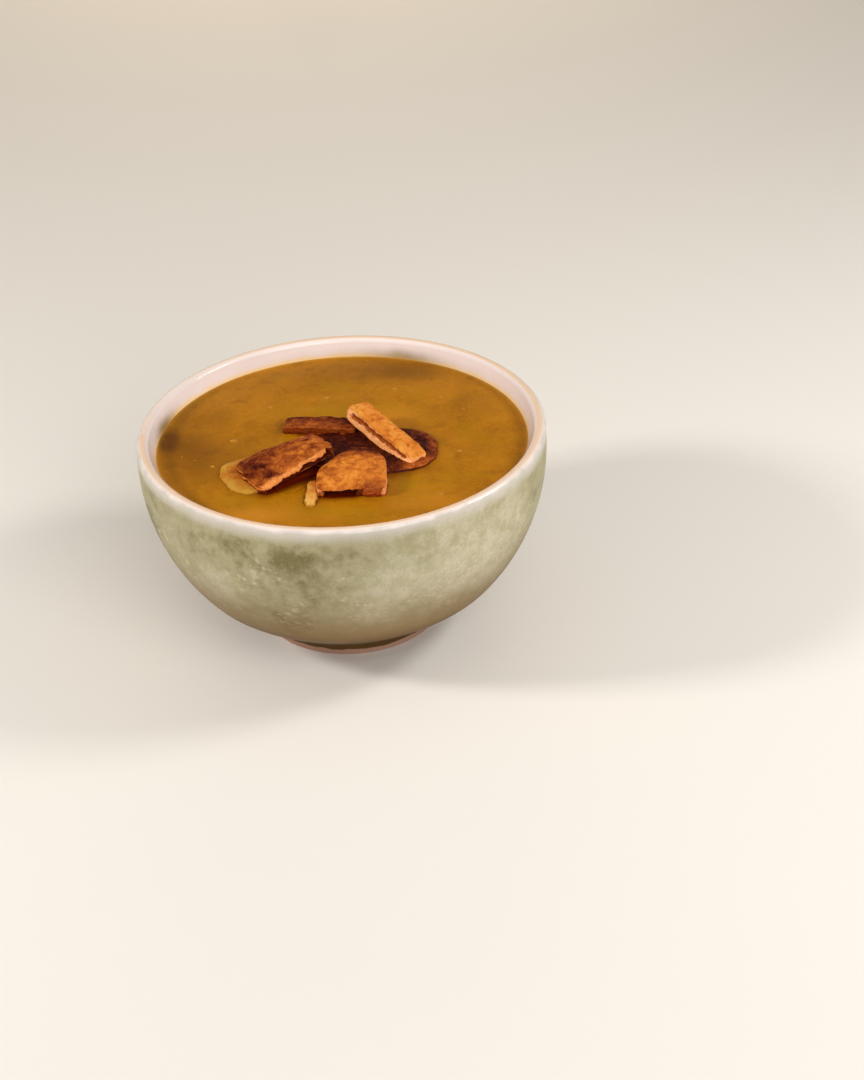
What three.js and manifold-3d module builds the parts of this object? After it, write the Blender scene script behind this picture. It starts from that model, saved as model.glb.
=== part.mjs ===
// A bowl of lentil soup with pieces of toasted flatbread on top.
// Millimetres, +Z up. The origin is the middle of the foot ring, on the table.
// The bowl is one lathed wall. The soup fills it to just under the rim, and the
// bread lies half sunk in the soup, so the soup is cut round every piece.

import * as THREE from 'three';
import { mergeVertices } from 'three/addons/utils/BufferGeometryUtils.js';
import Module from 'manifold-3d';

const wasm = await Module();
wasm.setup();

// ---- Driving dimensions ----
const GAP = 0.3;              // clearance between neighbouring solids
const TURNS = 64;             // facets round the bowl and the soup

const RIM_HEIGHT = 78;
const RIM_RADIUS = 75;
const LIP_RADIUS = 2.3;       // the rim ends in a half-round lip
const BELLY_HEIGHT = 70;      // height of the centre of both wall arcs
const WALL = 7.4;             // between the outer and the inner arc
const FLOOR_HEIGHT = 8;       // of the bowl's inside
const FOOT_RADIUS = 33.2;
const FOOT_WIDTH = 5.6;
const FOOT_HEIGHT = 3.6;
const FOOT_EDGE = 0.6;        // worn edge of the foot
const BELLY_START = 22;       // height where the outer arc begins

const SOUP_LEVEL = 71;
const MENISCUS_RISE = 0.5;    // where the soup meets the wall
const MENISCUS_REACH = 1.6;
const SOUP_RINGS = 9;
const SOUP_WAVE = 0.22;       // low swells on the thick soup

const EDGE_THINNING = 0.25;   // share of a bread piece's thickness lost at its edge
const FAR_START = -0.3;       // where across a piece its far side begins to draw in
const CRUMB_SHAPE = [1.2, 0.9, 0.6];
const CRUMB_LIFT = 0.1;       // of a crumb's middle above the soup

const INNER_RADIUS = RIM_RADIUS - WALL;
const LIP_CENTRE = new THREE.Vector2(RIM_RADIUS - LIP_RADIUS, RIM_HEIGHT - LIP_RADIUS);

// ---- Pieces of flatbread ----
// length, width, thick: size before the outline is rounded, mm
// at:     middle of the piece, x and y, and its height above the soup
// turn:   heading of the length, its rise, and the roll round it, degrees
// square: exponent of the rounded outline, low is rounder
// taper:  change of width along the length
// far:    how far the left and the right end draw in at the far side, mm, and how late
// arch:   rise of the middle along the length and across the width, mm
// pocket: opening between the two layers on the near side, from, to and depth
const NOT_DRAWN_IN = [[0, 1], [0, 1]];
const BREAD = {
  crouton_right: {
    length: 38.4, width: 9.4, thick: 6.8, at: [16.1, -2.8, 3.7], turn: [-54, -10, -5],
    square: 8, taper: 0, far: NOT_DRAWN_IN, arch: [0.5, 0], rag: 0.4, seed: 3,
    pocket: [-0.86, 0.9, 2.4], grid: [14, 6, 4], colour: 0xdc8a40,
  },
  crouton_left: {
    length: 32.4, width: 19.4, thick: 5.2, at: [-19.6, -20.3, 3.8], turn: [28, 11, 3],
    square: 8, taper: -0.2, far: [[0, 1], [3, 2]], arch: [0.5, 0.8], rag: 0.7, seed: 11,
    pocket: [-0.9, 0.95, 2.4], grid: [14, 8, 4], colour: 0x9a5524,
  },
  crouton_front: {
    length: 25, width: 26.5, thick: 5, at: [3.9, -27.8, 2.7], turn: [-3, 1, 6],
    square: 9, taper: 0, far: [[11, 1.4], [7, 3]], arch: [0.4, 0.8], rag: 0.3, seed: 5,
    pocket: [-0.9, 0.2, 2.6], grid: [12, 8, 4], colour: 0xe09a42,
  },
  crouton_back: {
    length: 27.5, width: 9, thick: 3.8, at: [-7.7, 10.7, 1.4], turn: [-11, 1, -2],
    square: 9, taper: 0, far: NOT_DRAWN_IN, arch: [0.3, 0], rag: 0.5, seed: 7,
    pocket: null, grid: [12, 4, 2], colour: 0x8c4a22,
  },
  crouton_under: {
    length: 46, width: 32, thick: 3.4, at: [11.6, -8, 0], turn: [-4, -0.6, 0],
    square: 3, taper: 0, far: NOT_DRAWN_IN, arch: [0, 0], rag: 0.5, seed: 2,
    pocket: null, grid: [12, 9, 2], colour: 0x6a3416,
  },
  soaked_layer: {
    length: 40, width: 20.5, thick: 2.4, at: [-24.4, -17.7, 1.4], turn: [27, 5, 0],
    square: 2.7, taper: -0.5, far: NOT_DRAWN_IN, arch: [0, 0], rag: 0.3, seed: 9,
    pocket: null, grid: [14, 8, 2], colour: 0xcf9c4a,
  },
  soaked_shred: {
    length: 18.5, width: 4.4, thick: 2, at: [-10.6, -37.2, 0.3], turn: [87, 0, 0],
    square: 3.4, taper: -0.1, far: NOT_DRAWN_IN, arch: [0.3, 0], rag: 0.3, seed: 4,
    pocket: null, grid: [10, 4, 2], colour: 0xe0ac50,
  },
};

// Bits of lentil and bread that lie on the soup: x, y and radius
const CRUMBS = [
  [-40, 5.6, 1.5], [35.2, -40.9, 1.3], [42.6, -10.5, 1.0], [37, 31.8, 0.9],
  [-6, 36, 1.1], [-27, 30, 0.9], [20, 40, 1.0], [-47, -13, 0.9],
];

// ---- Helpers ----
const radians = THREE.MathUtils.degToRad;

function arc(centre, radius, from, to, steps) {
  return new THREE.EllipseCurve(centre.x, centre.y, radius, radius, from, to, to < from)
    .getPoints(steps);
}

// One closed surface of shared vertices, without the flat triangles at a lathe's axis
function closedSurface(geometry) {
  const bare = geometry.clone();
  bare.deleteAttribute('normal');
  bare.deleteAttribute('uv');
  const merged = mergeVertices(bare, 1e-3);
  const index = merged.index.array;
  const kept = [];
  for (let i = 0; i < index.length; i += 3) {
    const [a, b, c] = [index[i], index[i + 1], index[i + 2]];
    if (a !== b && b !== c && c !== a) kept.push(a, b, c);
  }
  merged.setIndex(kept);
  return merged;
}

function toSolid(geometry) {
  const surface = closedSurface(geometry);
  return new wasm.Manifold(new wasm.Mesh({
    numProp: 3,
    vertProperties: new Float32Array(surface.attributes.position.array),
    triVerts: new Uint32Array(surface.index.array),
  }));
}

function toGeometry(solid) {
  const mesh = solid.getMesh();
  const geometry = new THREE.BufferGeometry();
  geometry.setAttribute('position', new THREE.BufferAttribute(mesh.vertProperties, 3));
  geometry.setIndex(new THREE.BufferAttribute(mesh.triVerts, 1));
  geometry.computeVertexNormals();
  return geometry;
}

// A profile of radius and height, turned about the vertical axis
function lathe(profile) {
  return new THREE.LatheGeometry(profile, TURNS).rotateX(Math.PI / 2);
}

// ---- Bowl ----
function bowlProfile() {
  const belly = new THREE.Vector2(0, BELLY_HEIGHT);
  const outerStart = Math.asin((BELLY_START - BELLY_HEIGHT) / RIM_RADIUS);
  const innerEnd = Math.asin((FLOOR_HEIGHT - BELLY_HEIGHT) / INNER_RADIUS);
  const footTop = new THREE.Vector2(FOOT_RADIUS + 0.4, FOOT_HEIGHT);
  const bellyStart = new THREE.Vector2(RIM_RADIUS * Math.cos(outerStart), BELLY_START);
  const cove = new THREE.CubicBezierCurve(
    footTop,
    new THREE.Vector2(FOOT_RADIUS + 2.8, FOOT_HEIGHT + 3.9),
    new THREE.Vector2(bellyStart.x - 5, bellyStart.y - 6),
    bellyStart,
  );
  const footInside = FOOT_RADIUS - FOOT_WIDTH;
  return [
    new THREE.Vector2(0, FOOT_HEIGHT),
    new THREE.Vector2(footInside - 1.2, FOOT_HEIGHT),
    new THREE.Vector2(footInside, 0),
    new THREE.Vector2(FOOT_RADIUS - FOOT_EDGE, 0),
    new THREE.Vector2(FOOT_RADIUS, FOOT_EDGE),
    ...cove.getPoints(5),
    ...arc(belly, RIM_RADIUS, outerStart, 0, 7).slice(1),
    ...arc(LIP_CENTRE, LIP_RADIUS, 0, Math.PI, 6),
    ...arc(belly, INNER_RADIUS, 0, innerEnd, 7),
    new THREE.Vector2(0, FLOOR_HEIGHT),
  ];
}

// ---- Bread ----
// Size of the ragged outline's wander, as a share, round the edge of a piece
function ragged(seed, angle) {
  return Math.sin(5 * angle + seed) + 0.6 * Math.sin(11 * angle + 2.3 * seed)
    + 0.4 * Math.sin(17 * angle + 4.1 * seed);
}

// Moves a point of the unit block, a along, b across and c through, to its place
// in the piece. grow is added to every side.
function breadPoint(piece, grow, a, b, c) {
  const reach = Math.max(Math.abs(a), Math.abs(b));
  const norm = (Math.abs(a) ** piece.square + Math.abs(b) ** piece.square) ** (1 / piece.square);
  const rounded = norm > 0 ? reach / norm : 1;
  const wander = piece.rag * 0.5 * reach ** 4 * ragged(piece.seed, Math.atan2(b, a));
  const half = piece.length / 2 + grow;
  const halfWidth = piece.width / 2 + grow;
  const far = Math.max((b - FAR_START) / (1 - FAR_START), 0);
  const [drawnIn, late] = piece.far[a < 0 ? 0 : 1];
  const x = a * (rounded * (half + wander) - drawnIn * far ** late);
  let y = b * rounded * (halfWidth + wander) * (1 + piece.taper * a);
  const thin = 1 - EDGE_THINNING * reach ** 6;
  let z = c * (piece.thick / 2 * thin + grow);
  z += piece.arch[0] * (1 - a * a) + piece.arch[1] * (1 - b * b);
  if (grow === 0 && piece.pocket && b === -1 && Math.abs(c) < 0.5) {
    const [from, to, depth] = piece.pocket;
    if (a >= from && a <= to) y += depth;
  }
  return new THREE.Vector3(x, y, z);
}

// Block with its corners moved by breadPoint, still round its own middle
function breadGeometry(piece, grow) {
  const block = new THREE.BoxGeometry(2, 2, 2, ...piece.grid);
  const position = block.attributes.position;
  for (let i = 0; i < position.count; i++) {
    const p = breadPoint(piece, grow, position.getX(i), position.getY(i), position.getZ(i));
    position.setXYZ(i, p.x, p.y, p.z);
  }
  return block;
}

// Lays the piece in the soup: roll round the length, then the rise, then the heading
function breadPlace(piece) {
  const [heading, rise, roll] = piece.turn.map(radians);
  const [x, y, lift] = piece.at;
  return new THREE.Matrix4()
    .makeRotationFromEuler(new THREE.Euler(roll, -rise, heading, 'ZYX'))
    .setPosition(x, y, SOUP_LEVEL + lift);
}

function breadSolid(piece, grow) {
  return toSolid(breadGeometry(piece, grow).applyMatrix4(breadPlace(piece)));
}

// Each piece is cut back where a piece named before it lies on it
function layBread() {
  const laid = {};
  const above = [];
  for (const [name, piece] of Object.entries(BREAD)) {
    let solid = breadSolid(piece, 0);
    for (const cutter of above) solid = solid.subtract(cutter);
    laid[name] = solid;
    above.push(breadSolid(piece, GAP));
  }
  return { laid, cutters: above };
}

// ---- Soup ----
function soupTop(x, y, radius, edge) {
  const rise = MENISCUS_RISE * Math.exp((radius - edge) / MENISCUS_REACH);
  const calm = 1 - (radius / edge) ** 4;
  const swell = Math.sin(0.11 * x + 0.05 * y + 1) * Math.cos(0.09 * y - 0.03 * x);
  return SOUP_LEVEL + rise + SOUP_WAVE * calm * swell;
}

function soupGeometry() {
  const belly = new THREE.Vector2(0, BELLY_HEIGHT);
  const radius = INNER_RADIUS - GAP;
  const bottom = FLOOR_HEIGHT + GAP;
  const start = Math.asin((bottom - BELLY_HEIGHT) / radius);
  const flare = (LIP_CENTRE.x - LIP_RADIUS - INNER_RADIUS) / (LIP_CENTRE.y - BELLY_HEIGHT);
  const edgeHeight = SOUP_LEVEL + MENISCUS_RISE;
  const edge = radius + flare * (edgeHeight - BELLY_HEIGHT);
  const profile = [
    new THREE.Vector2(0, bottom),
    ...arc(belly, radius, start, 0, 7),
    new THREE.Vector2(edge, edgeHeight),
  ];
  for (let ring = 1; ring <= SOUP_RINGS; ring++) {
    const share = 1 - (ring / SOUP_RINGS) ** 1.4;
    profile.push(new THREE.Vector2(edge * share, SOUP_LEVEL));
  }
  const geometry = lathe(profile);
  const position = geometry.attributes.position;
  for (let i = 0; i < position.count; i++) {
    const x = position.getX(i);
    const y = position.getY(i);
    if (position.getZ(i) >= SOUP_LEVEL) {
      position.setZ(i, soupTop(x, y, Math.hypot(x, y), edge));
    }
  }
  return geometry;
}

function crumbSolid([x, y, radius], seed) {
  const crumb = new THREE.IcosahedronGeometry(radius, 0)
    .scale(...CRUMB_SHAPE)
    .rotateZ(seed * 1.7)
    .translate(x, y, SOUP_LEVEL + CRUMB_LIFT);
  return toSolid(crumb);
}

function soupSolid(cutters) {
  let solid = toSolid(soupGeometry());
  CRUMBS.forEach((crumb, i) => { solid = solid.add(crumbSolid(crumb, i)); });
  for (const cutter of cutters) solid = solid.subtract(cutter);
  return solid;
}

// ---- The model ----
function part(name, geometry, colour, roughness) {
  const material = new THREE.MeshStandardMaterial({ color: colour, roughness, metalness: 0 });
  const mesh = new THREE.Mesh(geometry, material);
  mesh.name = name;
  return mesh;
}

const { laid, cutters } = layBread();
const model = new THREE.Group();
model.add(part('bowl', lathe(bowlProfile()), 0xc9cbb0, 0.25));
model.add(part('soup', toGeometry(soupSolid(cutters)), 0xab7316, 0.35));
for (const [name, solid] of Object.entries(laid)) {
  model.add(part(name, toGeometry(solid), BREAD[name].colour, 0.75));
}

export default model;
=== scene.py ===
# A bowl of lentil soup with pieces of toasted flatbread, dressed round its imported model.
# The scene is in metres, +Z up, with its origin at the middle of the foot ring, on the floor.
# Shapes are worked out in millimetres, and finished() scales them.
import math
import random
from typing import NamedTuple

import bmesh
import bpy
from mathutils import Euler, Matrix, Vector, noise
from mathutils.bvhtree import BVHTree


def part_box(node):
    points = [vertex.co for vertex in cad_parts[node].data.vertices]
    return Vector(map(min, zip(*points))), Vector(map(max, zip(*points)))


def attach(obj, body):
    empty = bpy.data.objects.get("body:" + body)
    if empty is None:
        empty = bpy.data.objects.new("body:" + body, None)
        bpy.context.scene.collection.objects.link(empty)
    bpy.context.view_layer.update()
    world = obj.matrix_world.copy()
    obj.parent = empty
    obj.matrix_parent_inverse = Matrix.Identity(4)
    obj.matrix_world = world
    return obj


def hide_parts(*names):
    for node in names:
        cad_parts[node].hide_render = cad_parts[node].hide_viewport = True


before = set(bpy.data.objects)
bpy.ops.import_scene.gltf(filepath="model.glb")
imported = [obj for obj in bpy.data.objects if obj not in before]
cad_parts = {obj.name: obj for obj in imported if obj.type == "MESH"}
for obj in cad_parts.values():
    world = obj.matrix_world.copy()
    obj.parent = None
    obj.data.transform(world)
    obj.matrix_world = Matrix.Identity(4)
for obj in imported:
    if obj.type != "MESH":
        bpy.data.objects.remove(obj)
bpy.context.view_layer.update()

MM = 0.001
BODY = "root"

# ---- Sizes of the bowl and the soup, in millimetres, as in the model ----
BOWL_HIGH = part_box("bowl")[1]
RIM_RADIUS = BOWL_HIGH.x / MM
RIM_HEIGHT = BOWL_HIGH.z / MM
LIP_RADIUS = 2.3               # the rim ends in a half-round lip
BELLY_HEIGHT = 70              # height of the centre of both wall arcs
WALL = 7.4                     # between the outer and the inner arc
FLOOR_HEIGHT = 8               # of the bowl's inside
FOOT_RADIUS = 33.2
FOOT_WIDTH = 5.6
FOOT_HEIGHT = 3.6
FOOT_EDGE = 0.6                # radius of the worn edge of the foot
BELLY_START = 22               # height where the outer arc begins
SOUP_LEVEL = 71
INNER_RADIUS = RIM_RADIUS - WALL
LIP_X = RIM_RADIUS - LIP_RADIUS
LIP_Z = RIM_HEIGHT - LIP_RADIUS

# ---- The photograph's viewpoint ----
PHOTO_SIZE_PX = (864, 1080)
FOCAL_PX = 2700
RIM_CENTRE_PX = (341.0, 426.1)     # where the middle of the rim shows
LOOK_DOWN = math.radians(31.05)
ROLL = math.radians(2.9)
RIM_DEPTH = 0.986                  # metres, from the camera's plane to the middle of the rim
SENSOR = 36.0                      # mm


def place_camera():
    """A camera that sees the middle of the rim at its place in the photograph's frame."""
    data = bpy.data.cameras.new("camera")
    data.sensor_width = SENSOR
    data.lens = FOCAL_PX * SENSOR / max(PHOTO_SIZE_PX)
    camera = bpy.data.objects.new("camera", data)
    tilt = Euler((math.pi / 2 - LOOK_DOWN, 0, 0)).to_matrix()
    turn = tilt @ Euler((0, 0, -ROLL)).to_matrix()
    across = (RIM_CENTRE_PX[0] - PHOTO_SIZE_PX[0] / 2) * RIM_DEPTH / FOCAL_PX
    up = (PHOTO_SIZE_PX[1] / 2 - RIM_CENTRE_PX[1]) * RIM_DEPTH / FOCAL_PX
    rim_seen = turn @ Vector((across, up, -RIM_DEPTH))
    rim_centre = Vector((0, 0, RIM_HEIGHT * MM))
    camera.matrix_world = Matrix.Translation(rim_centre - rim_seen) @ turn.to_4x4()
    bpy.context.collection.objects.link(camera)
    bpy.context.scene.camera = camera


place_camera()


# ---- Small helpers ----
def smooth(value, low, high):
    """0 at low and beyond, 1 at high and beyond, and a smooth step between."""
    share = min(max((value - low) / (high - low), 0.0), 1.0)
    return share * share * (3 - 2 * share)


def grain(point, size, seed=0.0, octaves=3):
    """Fractal noise from about -1 to 1, with lumps of the given size."""
    where = Vector(point) / size + Vector((seed * 7.3, seed * 3.1, seed * 5.7))
    return noise.fractal(where, 1.0, 2.0, octaves)


def bell(value, middle, spread):
    """1 at the middle, and less and less on both sides of it."""
    return math.exp(-((value - middle) / spread) ** 2)


def arc(x, z, radius, start, end, steps):
    """Points of an arc round x, z, between two angles in radians."""
    angles = [start + (end - start) * i / steps for i in range(steps + 1)]
    return [(x + radius * math.cos(a), z + radius * math.sin(a)) for a in angles]


def bezier(points, steps):
    """Points of the curve that four control points make."""
    curve = []
    for i in range(steps + 1):
        t = i / steps
        weights = ((1 - t) ** 3, 3 * t * (1 - t) ** 2, 3 * t * t * (1 - t), t ** 3)
        curve.append(tuple(sum(w * p[k] for w, p in zip(weights, points)) for k in (0, 1)))
    return curve


def straight(start, end, steps):
    """Points of a straight line, its two ends among them."""
    return [tuple(a + (b - a) * i / steps for a, b in zip(start, end)) for i in range(steps + 1)]


def turned(profile, steps):
    """A bmesh of a profile of radius and height, in millimetres, spun about the vertical axis."""
    bm = bmesh.new()
    chain = [bm.verts.new((x, 0, z)) for x, z in profile]
    edges = [bm.edges.new(pair) for pair in zip(chain, chain[1:])]
    bmesh.ops.spin(bm, geom=chain + edges, cent=(0, 0, 0), axis=(0, 0, 1),
                   angle=math.tau, steps=steps, use_merge=True)
    bmesh.ops.remove_doubles(bm, verts=bm.verts, dist=1e-4)
    bmesh.ops.recalc_face_normals(bm, faces=bm.faces)
    # On a closed form the recalculated faces may all point inwards
    if bm.calc_volume(signed=True) < 0:
        bmesh.ops.reverse_faces(bm, faces=bm.faces)
    return bm


def value_layers(bm, *names):
    """New values on the points of the bmesh, which a finish reads as attributes."""
    return [bm.verts.layers.float.new(name) for name in names]


def finished(bm, name, material):
    """The bmesh, in millimetres, as a smooth shaded piece in metres that rides on the body."""
    bmesh.ops.scale(bm, vec=(MM, MM, MM), verts=bm.verts)
    mesh = bpy.data.meshes.new(name)
    bm.to_mesh(mesh)
    bm.free()
    mesh.polygons.foreach_set("use_smooth", [True] * len(mesh.polygons))
    mesh.materials.append(material)
    piece = bpy.data.objects.new(name, mesh)
    bpy.context.collection.objects.link(piece)
    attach(piece, BODY)
    return piece


# ---- Material building ----
# Places of the colour sockets on a mix node, whose sockets share their names
MIX_FACTOR = 0
MIX_FIRST = 6
MIX_SECOND = 7
MIX_RESULT = 2


class Finish:
    """A principled material and the few nodes that every finish here is made of."""

    def __init__(self, name, roughness=0.5, **fixed):
        self.material = bpy.data.materials.new(name)
        self.material.use_nodes = True
        self.tree = self.material.node_tree
        self.shader = self.tree.nodes["Principled BSDF"]
        self.shader.inputs["Roughness"].default_value = roughness
        for socket, value in fixed.items():
            self.shader.inputs[socket.replace("_", " ")].default_value = value
        self.place = self.node("ShaderNodeTexCoord").outputs["Object"]

    def node(self, kind, **settings):
        made = self.tree.nodes.new(kind)
        for key, value in settings.items():
            setattr(made, key, value)
        return made

    def feed(self, socket, value):
        """Gives a socket a value, or links it to another socket."""
        if isinstance(value, bpy.types.NodeSocket):
            self.tree.links.new(value, socket)
        else:
            socket.default_value = value

    def attribute(self, name):
        """A value that the points of the mesh carry."""
        return self.node("ShaderNodeAttribute", attribute_name=name).outputs["Fac"]

    def noise(self, size, detail=3.0, roughness=0.5, distortion=0.0, where=None):
        """Noise from 0 to 1 whose lumps are about size millimetres across."""
        made = self.node("ShaderNodeTexNoise")
        self.feed(made.inputs["Vector"], where or self.place)
        made.inputs["Scale"].default_value = 1 / (size * MM)
        made.inputs["Detail"].default_value = detail
        made.inputs["Roughness"].default_value = roughness
        made.inputs["Distortion"].default_value = distortion
        return made.outputs["Fac"]

    def wander(self, size, amount):
        """Soft noise from -amount to amount."""
        return self.span(self.noise(size), 0.2, 0.8, -amount, amount)

    def cells(self, size):
        """Distance from the middles of cells about size millimetres across, as a share of size."""
        made = self.node("ShaderNodeTexVoronoi")
        self.feed(made.inputs["Vector"], self.place)
        made.inputs["Scale"].default_value = 1 / (size * MM)
        return made.outputs["Distance"]

    def height(self):
        """Height above the floor, in millimetres."""
        split = self.node("ShaderNodeSeparateXYZ")
        self.feed(split.inputs[0], self.place)
        return self.times(split.outputs["Z"], 1 / MM)

    def math(self, operation, first, second):
        made = self.node("ShaderNodeMath", operation=operation)
        self.feed(made.inputs[0], first)
        self.feed(made.inputs[1], second)
        return made.outputs[0]

    def times(self, first, second):
        return self.math("MULTIPLY", first, second)

    def plus(self, first, second):
        return self.math("ADD", first, second)

    def span(self, value, low, high, to_low=0.0, to_high=1.0):
        """A smooth step: to_low where the value is low, and to_high where it is high."""
        made = self.node("ShaderNodeMapRange", interpolation_type="SMOOTHSTEP")
        names = ("Value", "From Min", "From Max", "To Min", "To Max")
        for name, end in zip(names, (value, low, high, to_low, to_high)):
            self.feed(made.inputs[name], end)
        return made.outputs["Result"]

    def blend(self, share, first, second, mode="MIX"):
        """The first colour where the share is 0, and the second where it is 1."""
        made = self.node("ShaderNodeMix", data_type="RGBA", blend_type=mode)
        self.feed(made.inputs[MIX_FACTOR], share)
        self.feed(made.inputs[MIX_FIRST], first)
        self.feed(made.inputs[MIX_SECOND], second)
        return made.outputs[MIX_RESULT]

    def ramp(self, value, *stops):
        """A colour for each value: stops are pairs of a position and a colour."""
        made = self.node("ShaderNodeValToRGB")
        self.feed(made.inputs["Fac"], value)
        elements = made.color_ramp.elements
        for position, _ in stops[1:-1]:
            elements.new(position)
        for element, (position, colour) in zip(elements, stops):
            element.position = position
            element.color = colour
        return made.outputs["Color"]

    def colour(self, value):
        self.feed(self.shader.inputs["Base Color"], value)

    def rough(self, value):
        self.feed(self.shader.inputs["Roughness"], value)

    def bump(self, height, depth, under=None):
        """depth is the height, in millimetres, that 1 in the pattern stands for."""
        made = self.node("ShaderNodeBump")
        made.inputs["Distance"].default_value = depth * MM
        self.feed(made.inputs["Height"], height)
        if under is not None:
            self.feed(made.inputs["Normal"], under)
        self.feed(self.shader.inputs["Normal"], made.outputs["Normal"])
        return made.outputs["Normal"]


def rgb(red, green, blue):
    """A colour given as it shows on a screen, from 0 to 255."""
    def linear(value):
        share = value / 255
        return share / 12.92 if share <= 0.04045 else ((share + 0.055) / 1.055) ** 2.4
    return (linear(red), linear(green), linear(blue), 1.0)


# ---- Bowl ----
BOWL_STEPS = 240               # round the axis
RECESS_LEAN = 1.2              # mm that the recess under the bowl narrows from the floor up
COVE_START = 0.4               # mm that the wall stands out from the foot, where it begins
COVE_FOOT_PULL = (2.8, 3.9)    # mm, out and up from the foot to the cove's first control point
COVE_BELLY_PULL = (5, 6)       # mm, in and down from the belly to its second one
THROWN_UNEVENNESS = 0.16       # mm that the wall draws in here and there
THROWN_LUMP = 38               # mm, size of the places where it does
THROWING_RING = 0.035          # mm, ridges left by the fingers
THROWING_PITCH = 4.6           # mm from ridge to ridge
GLAZE_LINE = 4.6               # mm past the top of the lip, where the white glaze ends
CLAY_LINE = 2.3                # mm, height on the foot where the glaze ends
LIP_REFLECTION = 0.85              # strength of the painted warm reflection along the top of the lip
COOL_LIP = (152, 28)           # where that painted reflection is missing: azimuth and spread, degrees
# Painted shade on the inside of the wall, just above the soup: azimuth and spread, degrees, and
# strength
WALL_SHADES = ((165, 8, 1), (69, 10, 0.5), (72, 34, 0.3))
# Large patches of the green glaze: azimuth in degrees, height, half width and half height in mm,
# and tone, above 0 pale and below 0 dark
PATCHES = (
    (-103, 64, 11, 6, -0.75), (-98, 50, 13, 14, -0.55), (-124, 64, 14, 8, -0.6),
    (-90, 68, 34, 4, -0.25), (-164, 44, 14, 26, -0.9), (-140, 26, 14, 8, 0.4),
    (-112, 34, 16, 7, -0.4), (-72, 52, 18, 15, 0.55), (-44, 58, 24, 16, 0.6),
    (-88, 40, 12, 8, 0.35), (-132, 44, 14, 9, 0.55), (-60, 32, 18, 6, -0.2), (-50, 43, 22, 8, 0.5),
    (-20, 62, 12, 10, -0.3), (20, 55, 22, 14, 0.5), (48, 60, 12, 7, -0.8), (70, 42, 20, 12, 0.45),
    (102, 58, 16, 9, -0.6), (126, 50, 18, 14, 0.55), (150, 62, 12, 6, -0.7), (176, 46, 20, 12, 0.5),
)


def bowl_profile():
    """Half section from the middle of the underside, round the rim, to the middle of the inside."""
    outer_start = math.asin((BELLY_START - BELLY_HEIGHT) / RIM_RADIUS)
    inner_end = math.asin((FLOOR_HEIGHT - BELLY_HEIGHT) / INNER_RADIUS)
    start_x = RIM_RADIUS * math.cos(outer_start)
    foot_inside = FOOT_RADIUS - FOOT_WIDTH
    worn_inside = foot_inside - RECESS_LEAN * FOOT_EDGE / FOOT_HEIGHT
    recess_edge = (foot_inside - RECESS_LEAN, FOOT_HEIGHT)
    cove = [
        (FOOT_RADIUS + COVE_START, FOOT_HEIGHT),
        (FOOT_RADIUS + COVE_FOOT_PULL[0], FOOT_HEIGHT + COVE_FOOT_PULL[1]),
        (start_x - COVE_BELLY_PULL[0], BELLY_START - COVE_BELLY_PULL[1]),
        (start_x, BELLY_START),
    ]
    return (
        straight((0, FOOT_HEIGHT), recess_edge, 12)
        + straight(recess_edge, (worn_inside, FOOT_EDGE), 6)[1:]
        + arc(worn_inside + FOOT_EDGE, FOOT_EDGE, FOOT_EDGE, math.pi, 1.5 * math.pi, 4)
        + arc(FOOT_RADIUS - FOOT_EDGE, FOOT_EDGE, FOOT_EDGE, -0.5 * math.pi, 0, 4)
        + bezier(cove, 18)
        + arc(0, BELLY_HEIGHT, RIM_RADIUS, outer_start, 0, 34)[1:]
        + arc(LIP_X, LIP_Z, LIP_RADIUS, 0, math.pi, 20)
        + arc(0, BELLY_HEIGHT, INNER_RADIUS, 0, inner_end, 34)
        + straight((INNER_RADIUS * math.cos(inner_end), FLOOR_HEIGHT), (0, FLOOR_HEIGHT), 10)[1:]
    )


def past_lip(point):
    """Distance along the section from the top of the lip: above 0 outside, below 0 inside."""
    radius = math.hypot(point.x, point.y)
    quarter = LIP_RADIUS * math.pi / 2
    if point.z >= LIP_Z:
        return quarter - LIP_RADIUS * math.atan2(point.z - LIP_Z, radius - LIP_X)
    middle = RIM_RADIUS - WALL / 2
    wall_middle = math.sqrt(middle ** 2 - (BELLY_HEIGHT - point.z) ** 2)
    # All that lies lower than the inside's floor is outside
    side = 1 if radius > wall_middle or point.z < FLOOR_HEIGHT - 1 else -1
    return side * (quarter + LIP_Z - point.z)


def thrown(point):
    """The point drawn in a little, as on a bowl that was thrown by hand."""
    uneven = 0.5 + 0.5 * grain(point, THROWN_LUMP, 1, 2)
    ring = 0.5 + 0.5 * math.sin(math.tau * point.z / THROWING_PITCH + 2 * grain(point, 30, 2, 2))
    # The ridges fade out towards the foot and the rim, and the foot itself is true
    ring *= smooth(point.z, 9, 16) * smooth(point.z, 74, 66)
    calm = smooth(point.z, 1, 8)
    radius = math.hypot(point.x, point.y)
    if radius < 1:
        return point
    share = 1 - calm * (THROWN_UNEVENNESS * uneven + THROWING_RING * ring) / radius
    return Vector((point.x * share, point.y * share, point.z))


def glaze_tone(point):
    """Tone of the green glaze at a point, from about -1, dark olive, to 1, pale."""
    radius = math.hypot(point.x, point.y)
    tone = 0.4 * grain(point, 16, 3, 3)
    for azimuth, height, wide, high, strength in PATCHES:
        turn = math.remainder(math.atan2(point.y, point.x) - math.radians(azimuth), math.tau)
        far = (turn * radius / wide) ** 2 + ((point.z - height) / high) ** 2
        tone += strength * math.exp(-far)
    return tone


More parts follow.
